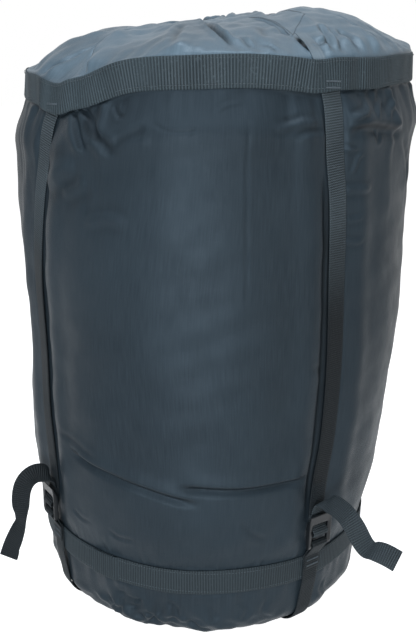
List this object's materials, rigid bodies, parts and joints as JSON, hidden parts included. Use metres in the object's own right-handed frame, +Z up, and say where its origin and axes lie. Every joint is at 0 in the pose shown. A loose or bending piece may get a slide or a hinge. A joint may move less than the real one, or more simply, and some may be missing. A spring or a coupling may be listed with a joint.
{
  "type": "compression sack",
  "caption": "Stuffed compression sack: drawstring throat, webbing rings joined by straps, and ladder locks that pull the top down on the load.",
  "frame": {"origin": "middle of the underside of the crossed base straps, where the sack rests", "axes": "+Z up through the sack to its mouth, -Y towards the front with two of the four straps, +X to the right of that front"},
  "size_m": [0.4308, 0.4482, 0.6096],
  "materials": {
    "sack_cloth": "satin",
    "throat_cloth": "satin",
    "stuffed_load": "matte",
    "ring_webbing": "matte",
    "strap_webbing": "matte",
    "woven_tab": "matte",
    "thread": "matte",
    "drawcord": "matte",
    "black_plastic": "satin",
    "spring_steel": "polished"
  },
  "bodies": {
    "sack": {"base_panel": "sack_cloth", "base_strap_left": "strap_webbing", "base_strap_right": "strap_webbing", "lower_ring": "ring_webbing", "body_wall": "sack_cloth", "packed_fill": "stuffed_load", "strap_fl": "strap_webbing", "strap_fr": "strap_webbing", "strap_br": "strap_webbing", "strap_bl": "strap_webbing", "lower_bartacks": "thread"},
    "top": {"throat": "throat_cloth", "upper_ring": "ring_webbing", "woven_tab": "woven_tab", "mouth_hem": "throat_cloth", "drawcord_ring": "drawcord", "drawcord_free": "drawcord", "drawcord_coil": "drawcord", "upper_bartacks": "thread"},
    "cord_lock": {"cord_lock_barrel": "black_plastic", "cord_lock_spring": "spring_steel"},
    "lock_button": {"cord_lock_plunger": "black_plastic"},
    "lock_fl": {"ladder_lock_fl": "black_plastic", "bight_fl": "strap_webbing"},
    "tail_fl": {"tail_fl": "strap_webbing"},
    "lock_fr": {"ladder_lock_fr": "black_plastic", "bight_fr": "strap_webbing"},
    "tail_fr": {"tail_fr": "strap_webbing"},
    "lock_br": {"ladder_lock_br": "black_plastic", "bight_br": "strap_webbing"},
    "tail_br": {"tail_br": "strap_webbing"},
    "lock_bl": {"ladder_lock_bl": "black_plastic", "bight_bl": "strap_webbing"},
    "tail_bl": {"tail_bl": "strap_webbing"}
  },
  "joints": [
    {"name": "compress", "type": "slide", "parent": "sack", "child": "top", "axis": [0, 0, -1], "range_m": [0, 0.2], "stiffness_N_per_m": 40, "deforming": ["body_wall", "packed_fill", "strap_fl", "strap_fr", "strap_br", "strap_bl"]},
    {"name": "lock_fl_tilt", "type": "hinge", "parent": "sack", "child": "lock_fl", "pos_m": [-0.15908, -0.1073, 0.1075], "axis": [0.5592, -0.829, 0], "range_deg": [0, 30]},
    {"name": "lock_fr_tilt", "type": "hinge", "parent": "sack", "child": "lock_fr", "pos_m": [0.11282, -0.15529, 0.1075], "axis": [0.809, 0.5878, 0], "range_deg": [0, 30]},
    {"name": "lock_br_tilt", "type": "hinge", "parent": "sack", "child": "lock_br", "pos_m": [0.15913, 0.10734, 0.1075], "axis": [-0.5592, 0.829, 0], "range_deg": [0, 30]},
    {"name": "lock_bl_tilt", "type": "hinge", "parent": "sack", "child": "lock_bl", "pos_m": [-0.11279, 0.15525, 0.1075], "axis": [-0.809, -0.5878, 0], "range_deg": [0, 30]},
    {"name": "tail_fl_swing", "type": "hinge", "parent": "lock_fl", "child": "tail_fl", "pos_m": [-0.15842, -0.10685, 0.1457], "axis": [-0.5592, 0.829, 0], "range_deg": [-20, 25]},
    {"name": "tail_fr_swing", "type": "hinge", "parent": "lock_fr", "child": "tail_fr", "pos_m": [0.11235, -0.15464, 0.1457], "axis": [-0.809, -0.5878, 0], "range_deg": [-40, 25]},
    {"name": "tail_br_swing", "type": "hinge", "parent": "lock_br", "child": "tail_br", "pos_m": [0.15847, 0.10689, 0.1457], "axis": [0.5592, -0.829, 0], "range_deg": [-40, 25]},
    {"name": "tail_bl_swing", "type": "hinge", "parent": "lock_bl", "child": "tail_bl", "pos_m": [-0.11232, 0.1546, 0.1457], "axis": [0.809, 0.5878, 0], "range_deg": [-15, 25]},
    {"name": "cord_lock_slide", "type": "slide", "parent": "top", "child": "cord_lock", "axis": [1, 0, 0], "range_m": [0, 0.028]},
    {"name": "lock_button_press", "type": "slide", "parent": "cord_lock", "child": "lock_button", "axis": [0, 1, 0], "range_m": [0, 0.004], "stiffness_N_per_m": 400, "deforming": ["cord_lock_spring"]}
  ]
}
